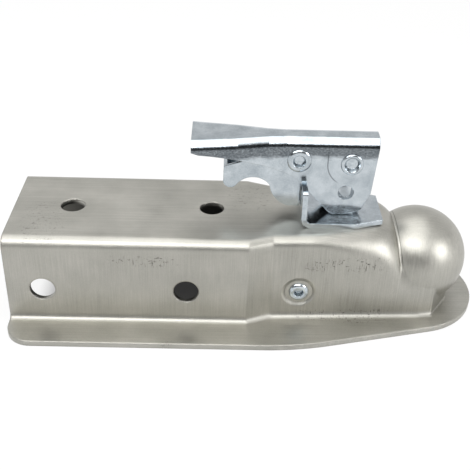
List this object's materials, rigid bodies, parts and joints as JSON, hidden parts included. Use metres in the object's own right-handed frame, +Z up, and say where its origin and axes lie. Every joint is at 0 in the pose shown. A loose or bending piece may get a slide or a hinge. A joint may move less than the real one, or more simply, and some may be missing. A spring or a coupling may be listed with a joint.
{
  "type": "trailer coupling head",
  "caption": "Stamped straight-tongue trailer coupling head with a ball socket, a hinged ball clamp and a lever latch with a finger trigger.",
  "frame": {"origin": "centre of the ball when it is seated in the socket", "axes": "+X towards the nose, +Z up, away from the flat flange that the part rests on"},
  "size_m": [0.2582, 0.1136, 0.0996],
  "materials": {
    "stamped_steel": "satin stamped steel",
    "zinc_sheet": "bright zinc plating",
    "rivet_steel": "bright zinc plating",
    "forged_steel": "dull forged steel",
    "bolt_steel": "zinc plating",
    "spring_steel": "oiled spring steel"
  },
  "bodies": {
    "root": {"coupler_body": "stamped_steel", "latch_bracket": "zinc_sheet", "jaw_pivot_rivet": "rivet_steel", "jaw_spring": "spring_steel"},
    "bolt": {"draw_bolt": "bolt_steel", "spring_seat_washer": "bolt_steel", "clamp_washer": "bolt_steel", "adjusting_nut": "bolt_steel"},
    "handle": {"latch_handle": "zinc_sheet", "handle_pin": "rivet_steel", "trigger_rivet": "rivet_steel", "trigger_spring": "spring_steel"},
    "trigger": {"trigger": "zinc_sheet"},
    "clamp": {"ball_clamp": "forged_steel"}
  },
  "joints": [
    {"name": "bolt_slide", "type": "slide", "parent": "root", "child": "bolt", "axis": [0, 0, -1], "range_m": [0, 0.0076], "deforming": ["jaw_spring"]},
    {"name": "handle_swing", "type": "hinge", "parent": "bolt", "child": "handle", "pos_m": [-0.0427, 0, 0.06], "axis": [0, 1, 0], "range_deg": [0, 90]},
    {"name": "trigger_pull", "type": "hinge", "parent": "handle", "child": "trigger", "pos_m": [-0.0704, 0, 0.0614], "axis": [0, 1, 0], "range_deg": [0, 15], "stiffness_Nm_per_rad": 0.6, "springref_deg": -17.19},
    {"name": "jaw_swing", "type": "hinge", "parent": "root", "child": "clamp", "pos_m": [-0.0677, 0, -0.0067], "axis": [0, 1, 0], "range_deg": [0, 17.6]}
  ],
  "couplings": [
    {"joint": "bolt_slide", "follows": "handle_swing", "m_per_rad": 0.0047746},
    {"joint": "jaw_swing", "follows": "handle_swing", "ratio": 0.19397}
  ]
}
